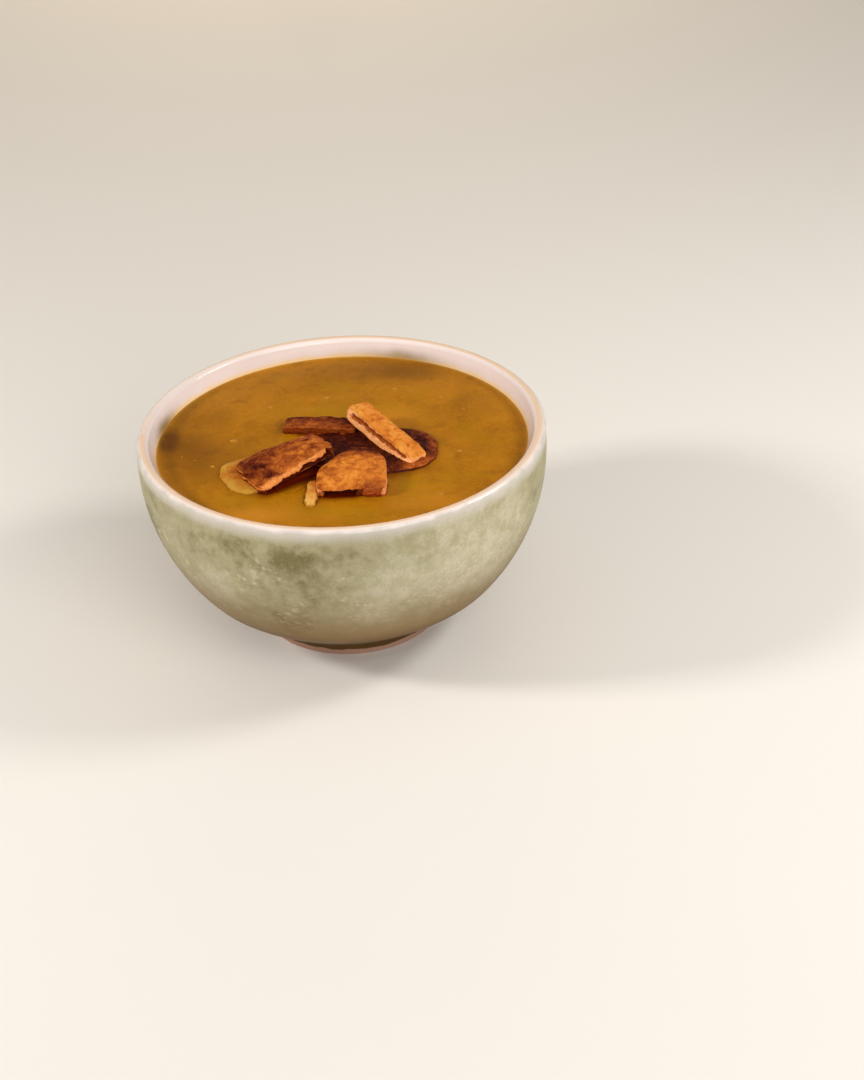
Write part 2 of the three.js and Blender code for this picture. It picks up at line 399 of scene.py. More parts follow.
def white_glaze(finish, from_lip, height, thinning):
    """Pinkish white inside, cream on the lip with a painted warm reflection along it, and thin just
    outside it.
    """
    white = finish.blend(finish.noise(22), rgb(248, 237, 235), rgb(240, 227, 228))
    crest = finish.times(finish.span(from_lip, -2, -0.6), finish.span(from_lip, 2.2, 1))
    white = finish.blend(crest, white, rgb(240, 226, 218))
    # A painted warm reflection along the top of the lip
    line = finish.times(finish.span(from_lip, -1.3, -0.7), finish.span(from_lip, 1.2, 0.5))
    line = finish.times(line, finish.attribute("warm_reflection"))
    white = finish.blend(line, white, rgb(234, 200, 168))
    # The soup stains it just above its level, and above that the wall is browner in places as
    # painted shade
    inside = finish.span(from_lip, -1, -3)
    climb = finish.plus(height, finish.wander(8, 0.4))
    stain = finish.times(finish.span(climb, SOUP_LEVEL + 2.4, SOUP_LEVEL + 0.4), inside)
    white = finish.blend(stain, white, rgb(250, 219, 168))
    # Painted shade where the wall meets the soup
    wall_shade = finish.times(finish.span(climb, SOUP_LEVEL + 5, SOUP_LEVEL + 1), inside)
    wall_shade = finish.times(wall_shade, finish.attribute("wall_shade"))
    white = finish.blend(wall_shade, white, rgb(150, 126, 82))
    thin_white = finish.blend(finish.noise(9), rgb(208, 201, 195), rgb(196, 191, 178))
    return finish.blend(finish.span(thinning, 0.9, GLAZE_LINE - 1.4), white, thin_white)


def green_glaze(finish, height):
    """Patches and clouds, pale speckles in clusters, dark grit, and a painted brown reflection and
    shade low down.
    """
    clouds = finish.span(finish.noise(5, 4, 0.62), 0.25, 0.75, -0.36, 0.36)
    tone = finish.plus(finish.attribute("tone"), clouds)
    green = finish.ramp(
        tone,
        (0.0, rgb(170, 163, 128)),
        (0.45, rgb(189, 182, 154)),
        (1.0, rgb(209, 201, 178)),
    )
    green = finish.blend(finish.span(tone, -0.05, -1.1), green, rgb(110, 100, 56))
    cluster = finish.span(finish.noise(13, 2), 0.4, 0.62)
    band = finish.times(finish.span(height, 18, 36), finish.span(height, 72, 58))
    speck = finish.span(finish.noise(2.2, 2, 0.5), 0.52, 0.74)
    speck = finish.math("MAXIMUM", speck, finish.span(finish.cells(4.2), 0.1, 0.28, 0.8, 0))
    speck = finish.times(finish.times(speck, 0.5), finish.times(cluster, band))
    green = finish.blend(speck, green, rgb(228, 220, 192))
    grit = finish.span(finish.noise(0.9, 2, 0.7), 0.3, 0.72, 0, 0.32)
    green = finish.blend(grit, green, rgb(148, 140, 104))
    # Thin runs below the rim
    upright = finish.node("ShaderNodeMapping")
    finish.feed(upright.inputs["Vector"], finish.place)
    upright.inputs["Scale"].default_value = (1, 1, 0.12)
    runs = finish.noise(2.2, 2, 0.6, where=upright.outputs["Vector"])
    runs = finish.times(finish.span(height, 52, 68), finish.span(runs, 0.5, 0.75, 0, 0.14))
    green = finish.blend(runs, green, rgb(142, 132, 92))
    # Painted brown reflection and shade: browner towards the foot, and darker still low down by the
    # cove
    green = finish.blend(finish.span(height, 58, 14), green, rgb(120, 84, 4))
    return finish.blend(finish.span(height, 27, 13), green, rgb(88, 58, 2))


def glaze_finish():
    """White glaze inside and over the lip, mottled green outside, bare clay on the foot."""
    finish = Finish("glaze", Specular_IOR_Level=0.36)
    from_lip = finish.attribute("past_lip")
    height = finish.height()
    thinning = finish.plus(from_lip, finish.wander(7, 0.6))
    outside = finish.span(thinning, GLAZE_LINE - 2.4, GLAZE_LINE + 3.4)
    white = white_glaze(finish, from_lip, height, thinning)
    glaze = finish.blend(outside, white, green_glaze(finish, height))
    clay = finish.blend(finish.noise(1.2, 4, 0.7), rgb(162, 122, 102), rgb(190, 150, 132))
    edge = finish.plus(height, finish.wander(6, 0.35))
    glazed = finish.span(edge, CLAY_LINE - 0.15, CLAY_LINE + 0.15)
    finish.colour(finish.blend(glazed, clay, glaze))
    glaze_roughness = finish.span(outside, 0, 1, 0.13, 0.5)
    finish.rough(finish.span(glazed, 0, 1, 0.85, glaze_roughness))
    pits = finish.bump(finish.noise(0.5, 3, 0.7), 0.04)
    finish.bump(finish.noise(4, 3), 0.1, under=pits)
    return finish.material


def make_bowl():
    bm = turned(bowl_profile(), BOWL_STEPS)
    from_lip, tone, wall_shade, warm_reflection = value_layers(bm, "past_lip", "tone", "wall_shade", "warm_reflection")
    for vert in bm.verts:
        azimuth = math.degrees(math.atan2(vert.co.y, vert.co.x))
        vert[from_lip] = past_lip(vert.co)
        vert[tone] = glaze_tone(vert.co)
        vert[wall_shade] = sum(share * bell(azimuth, middle, spread) for middle, spread, share in WALL_SHADES)
        vert[warm_reflection] = LIP_REFLECTION * (1 - bell(azimuth, *COOL_LIP))
        vert.co = thrown(vert.co)
    bowl = finished(bm, "glazed_bowl", glaze_finish())
    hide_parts("bowl")


make_bowl()


# ---- Flatbread ----
class Gap(NamedTuple):
    """An opening in the near side of a piece of bread."""
    start: float               # where it begins and ends along the length, from -1 to 1
    end: float
    low: tuple                 # its lower edge through the thickness, at the left and the right
    high: tuple                # its upper edge there
    depth: float               # mm
    dark: float                # how dark the painted shade in there is, up to 1


class Flatbread(NamedTuple):
    """A cut piece of toasted flatbread, in millimetres and degrees."""
    length: float              # before the outline is rounded
    width: float
    thick: float
    at: tuple                  # its middle, x and y, and its height above the soup
    turn: tuple                # heading of the length, its rise, and the roll round it
    square: float              # exponent of the rounded outline, low is rounder
    rag: float                 # how far the outline wanders
    seed: int
    toast: tuple               # how dark the crust is, and its change along and across
    taper: float = 0           # change of width along the length
    far: tuple = ((0, 1), (0, 1))      # how far each end draws in at the far side, and how late
    arch: tuple = (0, 0)       # rise of the middle along the length and across the width
    gaps: tuple = ()
    setback: float = 0         # how far the layer above the gaps is drawn back
    nick: float = 0            # how much more it is at the right end
    teeth: float = 0.3         # how jagged the edge of that layer is
    torn: float = 0            # width of the strip along the near side where the crust is off
    edge: float = 0.7          # radius of the rounded edges
    blisters: int = 9          # on each face
    relief: float = 1          # strength of the blisters and the crumb
    rim: tuple = (0, 1, 0)     # painted highlight along the edge: how much paler, its width, and from where along
    shade: float = 0           # painted shade on the cut sides: how dark they are
    damp: float = 0            # how soaked it all is
    spots: tuple = ()          # more marks, oven marks and painted shade: x, y, radius and darkness


FAR_START = -0.3               # where across a piece its far side begins to draw in
EDGE_THINNING = 0.25           # share of the thickness lost at the edge
CELL = 0.32                    # mm between the points of a piece
FEWEST_CUTS = 8                # through a piece, however thin it is
ON_FACE = 0.999                # a point of the unit block past this lies on a face
BELOW = (-1.4, -1.4)           # lower edge of a gap that opens the underside too
GAP_END = 0.08                 # share of the half length in which a gap closes
LAYER_SLOPE = 0.3              # share of the half thickness in which the layer above one begins
SETBACK_REACH = 4              # mm in from the near side that its setback reaches
TORN_STEP = 0.35               # mm that the torn strip lies lower than the crust
BLISTER_SPREAD = 0.46          # shares of the length and the width, from the middle
CRUMB_LUMP = 0.16              # mm
PORE_DEPTH = 0.34              # mm
BREAD = {
    "crouton_right": Flatbread(
        length=38.4, width=9.4, thick=6.8, at=(16.1, -2.8, 3.7), turn=(-54, -10, -5), square=8,
        rag=0.4, seed=3, arch=(0.4, 0), toast=(0.42, 0.02, 0.03),
        gaps=(Gap(-0.92, 0.9, (-0.12, 0.42), (0.5, 0.8), 3, 0.6),), setback=0.6, teeth=0.4, edge=0.6,
        rim=(0.12, 1.5, 0.6), spots=((-15, 1, 3.5, -0.12), (2, -2.5, 2.5, 0.1), (6, 1, 4, -0.06)),
    ),
    "crouton_left": Flatbread(
        length=32.4, width=19.4, thick=5.2, at=(-19.6, -20.3, 3.8), turn=(28, 11, 3), square=8,
        rag=0.7, seed=11, taper=-0.2, far=((0, 1), (3, 2)), arch=(0.5, 0.8),
        toast=(0.68, -0.07, 0.03), gaps=(Gap(-0.96, 1.2, BELOW, (0.52, 0.52), 3.4, 1),),
        setback=0.6, nick=2.4, teeth=1.0, torn=1.8, edge=0.45, blisters=14, shade=0.85,
        spots=((-12, 2, 6, 0.12), (-10, -5, 4, 0.04), (-2, 6, 4, 0.08), (13, 5, 3, 0.1),
               (3, -3, 3, -0.12), (8, 0, 2.5, -0.1)),
    ),
    "crouton_front": Flatbread(
        length=25, width=26.5, thick=5, at=(3.9, -27.8, 2.7), turn=(-3, 1, 6), square=9,
        rag=0.3, seed=5, far=((11, 1.4), (7, 3)), arch=(0.4, 0.8), toast=(0.5, -0.01, 0.03),
        gaps=(Gap(-0.8, 0.16, BELOW, (0.72, 0.72), 3.6, 1),
              Gap(-1.1, -0.76, BELOW, (0.6, 0.6), 0.4, 0.45),
              Gap(0.08, 0.4, BELOW, (0.76, 0.76), 1.4, 0.8),
              Gap(0.12, 0.96, BELOW, (0.82, 0.82), 0.5, 0.55)),
        setback=0.4, teeth=0.4, edge=0.45, blisters=12, rim=(0.04, 1.0, 0.93), shade=0.22,
        # The dark spots on the far side are painted shadow of crouton_right, which leans over it
        spots=((5, -12.5, 4, 0.22), (10, -12, 4, 0.2), (5.5, 12, 5, 0.34), (9, 9, 3.5, 0.26),
               (-1, 12, 5, 0.3), (-5, 8, 4, 0.2), (-3, 1, 4, -0.1), (-6, -4, 3, 0.08),
               (6, 0, 5, -0.06)),
    ),
    "crouton_back": Flatbread(
        length=27.5, width=9, thick=3.8, at=(-7.7, 10.7, 1.4), turn=(-11, 1, -2), square=9,
        rag=0.5, seed=7, arch=(0.3, 0), toast=(0.79, 0.04, 0.08), edge=0.6, blisters=7, shade=0.76,
        spots=((-9, -1, 3, -0.1), (-3, -1.5, 3, -0.1)),
    ),
    # Its near-black toast and dark sides are partly its own toast and partly painted shade, where it
    # lies under the other pieces
    "crouton_under": Flatbread(
        length=46, width=32, thick=3.4, at=(11.6, -8, 0), turn=(-4, -0.6, 0), square=3,
        rag=0.5, seed=2, toast=(0.96, -0.06, 0), edge=0.7, blisters=16, shade=0.9,
        rim=(0.16, 4, 0.6), damp=0.4, spots=((13, -13.5, 6, -0.26), (19, -8, 5, -0.14)),
    ),
    "soaked_layer": Flatbread(
        length=40, width=20.5, thick=2.4, at=(-24.4, -17.7, 1.4), turn=(27, 5, 0), square=2.7,
        rag=0.3, seed=9, taper=-0.5, toast=(0.14, 0, 0), edge=0.9, blisters=6,
        rim=(0.1, 2.6, -1), damp=1,
        # The two large dark spots are painted shade where it lies under crouton_left
        spots=((4, 0, 13, 1.3), (16, 0, 11, 1.3), (-14, 4, 5, 0.2), (-12, -3, 4, 0.14)),
    ),
    "soaked_shred": Flatbread(
        length=18.5, width=4.4, thick=2, at=(-10.6, -37.2, 0.3), turn=(87, 0, 0), square=3.4,
        rag=0.3, seed=4, taper=-0.1, arch=(0.3, 0), toast=(0.27, 0.1, 0), edge=0.8, blisters=2,
        relief=0.6, damp=0.3,
    ),
}
SLOTS = {
    "toast_golden": ("crouton_right", "crouton_front"),
    "toast_dark": ("crouton_left", "crouton_back", "crouton_under"),
    "soaked_bread": ("soaked_layer", "soaked_shred"),
}
# For each slot: two colours of the crumb, the tint where it is wet, the roughness where it is dry
BREAD_LOOKS = {
    "toast_golden": ((rgb(252, 162, 98), rgb(255, 194, 134)), rgb(196, 130, 60), 0.7),
    "toast_dark": ((rgb(214, 116, 48), rgb(242, 168, 90)), rgb(180, 104, 50), 0.62),
    "soaked_bread": ((rgb(206, 142, 52), rgb(232, 176, 82)), rgb(190, 174, 68), 0.5),
}
WET_ROUGHNESS = 0.42


def ragged(seed, angle):
    """The wander of a piece's outline round its edge."""
    return (math.sin(5 * angle + seed) + 0.6 * math.sin(11 * angle + 2.3 * seed)
            + 0.4 * math.sin(17 * angle + 4.1 * seed))


def block(sizes):
    """A block from -1 to 1 each way, cut into cells for a piece of the given sizes."""
    bm = bmesh.new()
    bmesh.ops.create_cube(bm, size=2)
    for axis, size in enumerate(sizes):
        along = [e for e in bm.edges if abs(e.verts[0].co[axis] - e.verts[1].co[axis]) > 1]
        cuts = max(round(size / CELL), FEWEST_CUTS)
        bmesh.ops.subdivide_edges(bm, edges=along, cuts=cuts, use_grid_fill=True)
    return bm


def rounded_edge(piece, a, b, c):
    """The point of the unit block with the block's edges rounded to the piece's edge radius."""
    reach = max(abs(a), abs(b))
    side = min(piece.length, piece.width) / 2
    in_side = piece.edge - (1 - reach) * side
    in_top = piece.edge - (1 - abs(c)) * piece.thick / 2
    if in_side <= 0 or in_top <= 0:
        return a, b, c
    span = math.hypot(in_side, in_top)
    if span <= piece.edge:
        return a, b, c
    shrink = piece.edge / span
    new_reach = 1 - (piece.edge - in_side * shrink) / side
    new_c = 1 - (piece.edge - in_top * shrink) / (piece.thick / 2)
    return a * new_reach / reach, b * new_reach / reach, math.copysign(new_c, c)


def bread_point(piece, a, b, c):
    """The place of a point of the unit block in the piece, round the piece's own middle."""
    reach = max(abs(a), abs(b))
    norm = (abs(a) ** piece.square + abs(b) ** piece.square) ** (1 / piece.square)
    corner = reach / norm if norm > 0 else 1
    wander = piece.rag * 0.5 * reach ** 4 * ragged(piece.seed, math.atan2(b, a))
    far = max((b - FAR_START) / (1 - FAR_START), 0)
    drawn_in, late = piece.far[a >= 0]
    x = a * (corner * (piece.length / 2 + wander) - drawn_in * far ** late)
    y = b * corner * (piece.width / 2 + wander) * (1 + piece.taper * a)
    z = c * piece.thick / 2 * (1 - EDGE_THINNING * reach ** 6)
    z += piece.arch[0] * (1 - a * a) + piece.arch[1] * (1 - b * b)
    return Vector((x, y, z))


def bread_place(piece):
    """Lays the piece in the soup: its roll, then its rise, then its heading."""
    heading, rise, roll = (math.radians(angle) for angle in piece.turn)
    x, y, lift = piece.at
    turn = (Matrix.Rotation(heading, 4, "Z") @ Matrix.Rotation(-rise, 4, "Y")
            @ Matrix.Rotation(roll, 4, "X"))
    return Matrix.Translation((x, y, SOUP_LEVEL + lift)) @ turn


def opening(piece, gap, a, c, point):
    """How deep and how dark one gap is at a point, both from 0 to 1."""
    right = (1 + a) / 2
    low = gap.low[0] + (gap.low[1] - gap.low[0]) * right
    high = gap.high[0] + (gap.high[1] - gap.high[0]) * right
    wander = 0.1 * grain(point, 2.6, piece.seed, 2)
    along = smooth(a + wander, gap.start, gap.start + GAP_END)
    along *= smooth(-a + wander, -gap.end, -gap.end + GAP_END)
    middle = (low + high) / 2 + 0.08 * grain(point, 7, piece.seed + 1, 2)
    half = (high - low) / 2 * (1 + 0.25 * grain(point, 3.5, piece.seed + 2, 2))
    inside = half - abs(c - middle)
    return along * smooth(inside, 0, 0.12), along * smooth(inside, -0.08, 0.02)


def openings(piece, near, a, b, c, point):
    """Depth in mm and darkness of a piece's gaps at a point of its near side or its underside."""
    depth = 0
    dark = 0
    for gap in piece.gaps:
        opens_below = c < -ON_FACE and gap.low[0] < -1 and near < gap.depth
        if b < -ON_FACE or opens_below:
            deep_share, dark_share = opening(piece, gap, a, c, point)
            depth = max(depth, deep_share * gap.depth - near)
            dark = max(dark, dark_share * gap.dark)
    return depth, dark


def upper_edge(piece, near, a, c, point):
    """How far the layer above the gaps is drawn back from the near side, with its teeth."""
    above = piece.gaps[0].high[0] - LAYER_SLOPE if piece.gaps else -1
    upper = smooth(c, above, above + LAYER_SLOPE)
    flat = Vector((point.x, 0, 0))
    teeth = 0.6 * grain(flat, 3.6, piece.seed + 8, 1) + 0.4 * grain(flat, 1.4, piece.seed + 9, 2)
    back = piece.setback + piece.nick * smooth(a, 0.7, 1) + piece.teeth * (0.4 + teeth)
    return smooth(near, SETBACK_REACH, 0) * upper * back


def blister_marks(piece):
    """Bubbles of the crust and the given spots: place, radius, height, side and darkness, the oven's
    and, at some spots, painted shade.
    """
    draw = random.Random(piece.seed)
    marks = []
    for i in range(2 * piece.blisters):
        radius = draw.uniform(1.0, 2.6)
        x = draw.uniform(-BLISTER_SPREAD, BLISTER_SPREAD) * piece.length
        y = draw.uniform(-BLISTER_SPREAD, BLISTER_SPREAD) * piece.width
        height = draw.uniform(0.1, 0.34)
        burn = draw.uniform(-0.1, 0.26)
        marks.append((x, y, radius, height, 1 if i % 2 else -1, burn))
    # The given spots: oven marks, and painted shade where other pieces overhang this one
    marks += [(x, y, radius, 0, 1, burn) for x, y, radius, burn in piece.spots]
    return marks


def crust_relief(piece, marks, point, side):
    """Height in mm and darkness that the bubbles and the grain of the crust give a point."""
    lift = 0.1 * grain(point, 3.2, piece.seed) + 0.05 * grain(point, 0.9, piece.seed + 3)
    dark = 0
    for x, y, radius, height, facing, burn in marks:
        if facing != side:
            continue
        far = ((point.x - x) ** 2 + (point.y - y) ** 2) / radius ** 2
        if far < 5:
            lift += height * math.exp(-far)
            dark += burn * math.exp(-1.6 * far)
    return lift, dark


def crumb_relief(piece, point):
    """Height in mm of the torn crumb at a cut side: pores drawn out along the bread."""
    stretched = Vector((point.x / 1.5, point.y / 1.5, point.z / 0.7)) + Vector((piece.seed, 0, 0))
    nearest = noise.voronoi(stretched)[0][0]
    pore = smooth(nearest, 0.5, 0.15)
    return CRUMB_LUMP * grain(point, 1.3, piece.seed + 5) - PORE_DEPTH * pore


def toast_at(piece, a, b, burn, point):
    """How dark a point of the crust is, from 0, pale, to 1, nearly black: the oven's toast, the burn
    of the marks, some of it painted shade, and a painted highlight along the rim.
    """
    base, along, across = piece.toast
    paler, wide, start = piece.rim
    from_edge = (1 - max(abs(a), abs(b))) * min(piece.length, piece.width) / 2
    # The paler rim is a painted highlight
    base -= paler * smooth(from_edge, wide, 0) * smooth(a, start - 0.1, start + 0.1)
    return base + along * a + across * b + burn + 0.1 * grain(point, 6, piece.seed + 9, 2)


def bread_bmesh(piece):
    """One piece in its own place, with the values that its finish is painted by."""
    bm = block((piece.length, piece.width, piece.thick))
    crust_layer, toast_layer, deep_layer, damp_layer = value_layers(
        bm, "crust", "toast", "deep", "damp"
    )
    marks = blister_marks(piece)
    unit = [vert.co.copy() for vert in bm.verts]
    for vert, (a, b, c) in zip(bm.verts, unit):
        vert.co = bread_point(piece, *rounded_edge(piece, a, b, c))
    bm.normal_update()
    moved = []
    for vert, (a, b, c) in zip(bm.verts, unit):
        point = vert.co
        near = (1 + b) * piece.width / 2
        from_tear = near + 0.9 * grain(point, 2.4, piece.seed + 6, 2) - piece.torn
        whole = smooth(from_tear, -0.5, 0.3)
        crust = smooth(abs(c), 0.74, 0.94) * (whole if piece.torn and c > 0 else 1)
        depth, dark = openings(piece, near, a, b, c, point)
        lift, burn = crust_relief(piece, marks, point, math.copysign(1, c))
        height = piece.relief * (crust * lift + (1 - crust) * crumb_relief(piece, point))
        height -= TORN_STEP * (1 - whole) * (c > 0)
        back = depth + upper_edge(piece, near, a, c, point)
        moved.append(point + vert.normal * height + Vector((0, back, 0)))
        toast = toast_at(piece, a, b, burn, point)
        # Painted shade in the gaps and on the cut sides, and the darkest toast, make the deep value
        side_shade = 0 if piece.torn and c > 0.5 else piece.shade * (1 - crust)
        vert[crust_layer] = crust * (1 - dark)
        vert[toast_layer] = toast
        vert[deep_layer] = max(dark, side_shade, smooth(toast, 0.98, 1.3))
        vert[damp_layer] = piece.damp
    for vert, new in zip(bm.verts, moved):
        vert.co = new
    bmesh.ops.transform(bm, matrix=bread_place(piece), verts=bm.verts)
    bmesh.ops.recalc_face_normals(bm, faces=bm.faces)
    return bm


def bread_finish(name, crumb_colours, wet_tint, dry_roughness):
    """Toasted crust whose colour follows the toast value, crumb at the sides, painted shade in the
    gaps and on the cut sides, damp low down.
    """
    finish = Finish(name, Specular_IOR_Level=0.14)
    mottles = finish.span(finish.noise(2.6, 4, 0.65, 0.6), 0.25, 0.75, -0.15, 0.15)
    specks = finish.span(finish.noise(0.45, 2, 0.6), 0.3, 0.7, -0.05, 0.05)
    toast = finish.plus(finish.plus(finish.attribute("toast"), mottles), specks)
    crust = finish.ramp(
        toast,
        (0.0, rgb(242, 196, 112)),
        (0.22, rgb(236, 164, 76)),
        (0.42, rgb(222, 132, 46)),
        (0.62, rgb(172, 88, 30)),
        (0.82, rgb(112, 44, 12)),
        (1.0, rgb(54, 4, 0)),
    )
    crumb = finish.blend(finish.span(finish.noise(1.0, 4, 0.7), 0.3, 0.7), *crumb_colours)
    colour = finish.blend(finish.attribute("crust"), crumb, crust)
    # Painted shade in the gaps and on the cut sides: warm brown, then nearly black
    deep = finish.attribute("deep")
    colour = finish.blend(finish.span(deep, 0, 0.55, 0, 0.95), colour, rgb(168, 76, 12))
    colour = finish.blend(finish.span(deep, 0.45, 1, 0, 0.96), colour, rgb(76, 10, 0))
    line = finish.plus(finish.height(), finish.span(finish.noise(2.5), 0.25, 0.75, -0.5, 0.5))
    wet = finish.span(line, SOUP_LEVEL + 1.7, SOUP_LEVEL + 0.3)
    wet = finish.math("MAXIMUM", wet, finish.attribute("damp"))
    colour = finish.blend(finish.times(wet, 0.8), colour, wet_tint, "MULTIPLY")
    finish.colour(colour)
    finish.rough(finish.span(wet, 0, 1, dry_roughness, WET_ROUGHNESS))
    grit = finish.bump(finish.noise(0.3, 3, 0.7), 0.07)
    finish.bump(finish.noise(1.1, 3, 0.6), 0.16, under=grit)
    return finish.material


def make_bread():
    """Every piece of bread, and one tree of all their surfaces for the soup to climb."""
    points = []
    faces = []
    for slot, nodes in SLOTS.items():
        material = bread_finish(slot, *BREAD_LOOKS[slot])
        for node in nodes:
            bm = bread_bmesh(BREAD[node])
            start = len(points)
            points += [vert.co.copy() for vert in bm.verts]
            faces += [[start + vert.index for vert in face.verts] for face in bm.faces]
            piece = finished(bm, "toasted_" + node, material)
            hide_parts(node)
    return BVHTree.FromPolygons(points, faces)


bread_tree = make_bread()


# ---- Soup ----
SOUP_STEPS = 300               # round the axis
SOUP_RINGS = 150               # from the wall to the middle of the top
RING_CROWDING = 1.15           # above 1, the rings lie closer together near the wall
MENISCUS_RISE = 0.5            # mm, at the wall
MENISCUS_REACH = 1.6           # mm
SOUP_WAVE = 0.22               # mm, low swells on the thick soup
INTO_WALL = 0.12               # mm that the soup reaches into the glaze
BREAD_RISE = 0.42              # mm that the soup climbs up the bread
BREAD_REACH = 1.1              # mm
BREAD_SEARCH = 12              # mm, within which bread is looked for
SUNK_SLOPE = 2                 # how steeply its top falls away inside a piece of bread
SUNK_DEEPEST = -0.6            # mm
CLOSE_REACH = 2                # mm from the bread in which the soup is painted browner, as contact shade
SHALLOW_REACH = 0.5            # mm from the wall in which it is thin and pale
EDGE_HEIGHT = SOUP_LEVEL + MENISCUS_RISE
FLARE = (LIP_X - LIP_RADIUS - INNER_RADIUS) / (LIP_Z - BELLY_HEIGHT)
SOUP_EDGE = INNER_RADIUS + FLARE * (EDGE_HEIGHT - BELLY_HEIGHT) + INTO_WALL
HEM_RAYS = 16
HEM_REACH = 9                  # mm
HEM_HEIGHT = 0.9               # mm above the soup
HEM_SHARES = (0.42, 0.8)       # shares of the rays that meet bread where the shade begins and ends
# Where the soup lies deep in the shade of the bread: lines from and to, reach in mm and strength
SHADED = (
    ((-27, -34.2), (-9, -22.5), 3.2, 1.05), ((-7, -39.0), (4, -39.0), 2.6, 1.05),
    ((17, -23.5), (28, -19), 4.5, 0.62),
)
# Patches of oil on the soup: middle x and y, half length and half width, mm, and strength
OIL = ((-3, 24, 17, 6, 1), (24, -34, 9, 7, 1), (-2, -50, 16, 4, 0.8), (-38, -38, 10, 5, 0.7))
# Patches of paler soup, above 0, and of darker soup, below 0, in the same order; partly painted
# light and shade: the dark ones along the left and the back of the wall stand for the rim's shadow,
# and the pale ones at the front for light
TONES = (
    (-64.5, 8, 4, 7, -0.9), (-58, 2, 12, 20, -0.5), (16, 58, 42, 14, -0.5), (-46, -4, 14, 18, -0.3),
    (-30, -50, 20, 8, 0.7), (20, 18, 18, 12, 0.5), (28, -46, 18, 9, 0.5), (0, 36, 14, 5, 0.4),
    (-50, -20, 10, 10, -0.25), (50, 24, 12, 14, -0.35), (-50, 26, 12, 10, -0.25),
    (24, 53, 14, 7, -0.25), (-30, 5, 8, 8, -0.2),
)


def soup_top(x, y):
    """Height of the soup, away from the bread."""
    radius = math.hypot(x, y)
    rise = MENISCUS_RISE * math.exp((radius - SOUP_EDGE) / MENISCUS_REACH)
    calm = max(1 - (radius / SOUP_EDGE) ** 4, 0)
    swell = math.sin(0.11 * x + 0.05 * y + 1) * math.cos(0.09 * y - 0.03 * x)
    lumps = 0.06 * grain((x, y, 0), 3.5, 4) + 0.035 * grain((x, y, 0), 1.2, 5)
    return SOUP_LEVEL + rise + calm * (SOUP_WAVE * swell + lumps)


def soup_finish():
    """Thick ochre soup: mottled, oily in places, and darker and lighter by its points' values,
    partly as painted shade and light.
    """
    finish = Finish("soup", IOR=1.33, Specular_IOR_Level=0.2)
    mottles = finish.span(finish.noise(16, 3, 0.55, 0.4), 0.3, 0.7)
    base = finish.blend(mottles, rgb(160, 101, 3), rgb(179, 115, 8))
    fine = finish.span(finish.noise(1.3, 4, 0.65), 0.35, 0.7, 0, 0.35)
    base = finish.blend(fine, base, rgb(193, 131, 24))
    dark = finish.span(finish.noise(7, 3, 0.6, 0.5), 0.5, 0.72, 0, 0.5)
    base = finish.blend(dark, base, rgb(140, 86, 6))
    olive = finish.span(finish.noise(12, 2, 0.5, 1), 0.52, 0.7, 0, 0.5)
    base = finish.blend(olive, base, rgb(166, 116, 0))
    tone = finish.attribute("tone")
    # Painted light and shade by the soup's tone: paler at the front, darker along the left and the
    # back
    base = finish.blend(finish.span(tone, 0, 1, 0, 0.8), base, rgb(204, 134, 34))
    base = finish.blend(finish.span(tone, 0, -1, 0, 0.9), base, rgb(104, 60, 2))
    film = finish.span(finish.noise(5, 2), 0.3, 0.6, 0.3, 0.9)
    oil = finish.times(finish.attribute("oil"), film)
    base = finish.blend(oil, base, rgb(172, 122, 0))
    dots = finish.span(finish.cells(3.1), 0.08, 0.2, 0.3, 0)
    dots = finish.times(dots, finish.span(finish.noise(6, 2), 0.48, 0.62))
    base = finish.blend(dots, base, rgb(210, 150, 52))
    # Painted contact shade: browner close to the bread
    base = finish.blend(finish.times(finish.attribute("close"), 0.42), base, rgb(116, 66, 4))
    # Painted shade: nearly black-red where bread hems the soup in or overhangs it
    base = finish.blend(finish.times(finish.attribute("hemmed"), 0.98), base, rgb(92, 19, 0))
    base = finish.blend(finish.times(finish.attribute("shallow"), 0.7), base, rgb(236, 186, 100))
    finish.colour(base)
    finish.rough(finish.span(oil, 0, 1, 0.38, 0.16))
    fine_bump = finish.bump(finish.noise(0.9, 3, 0.6), 0.05)
    finish.bump(finish.noise(3.2, 3), 0.12, under=fine_bump)
    return finish.material


def soup_profile():
    """Half section from the middle of the bottom, up the wall, and in to the middle of the top."""
    radius = INNER_RADIUS + INTO_WALL
    bottom = FLOOR_HEIGHT - INTO_WALL
    start = math.asin((bottom - BELLY_HEIGHT) / radius)
    wall = arc(0, BELLY_HEIGHT, radius, start, 0, 20)
    inwards = [(i / SOUP_RINGS) ** RING_CROWDING for i in range(1, SOUP_RINGS + 1)]
    top = [(SOUP_EDGE * (1 - share), SOUP_LEVEL) for share in inwards]
    return straight((0, bottom), wall[0], 4)[:-1] + wall + [(SOUP_EDGE, EDGE_HEIGHT)] + top


def patched(patches, x, y):
    """The sum of soft patches at a place on the soup."""
    return sum(
        strength * math.exp(-((x - px) / long) ** 2 - ((y - py) / wide) ** 2)
        for px, py, long, wide, strength in patches
    )


def shade(x, y):
    """How deep in the shade of the bread a place on the soup lies."""
    deepest = 0
    for start, end, reach, strength in SHADED:
        line = Vector(end) - Vector(start)
        offset = Vector((x, y)) - Vector(start)
        share = min(max(offset.dot(line) / line.length_squared, 0), 1)
        far = (offset - share * line).length / reach
        deepest = max(deepest, strength * math.exp(-far ** 2))
    return deepest


def in_bread(point):
    """Whether the point is inside a piece of bread."""
    facing = bread_tree.ray_cast(point, Vector((0, 0, 1)))[1]
    return facing is not None and facing.z > 0


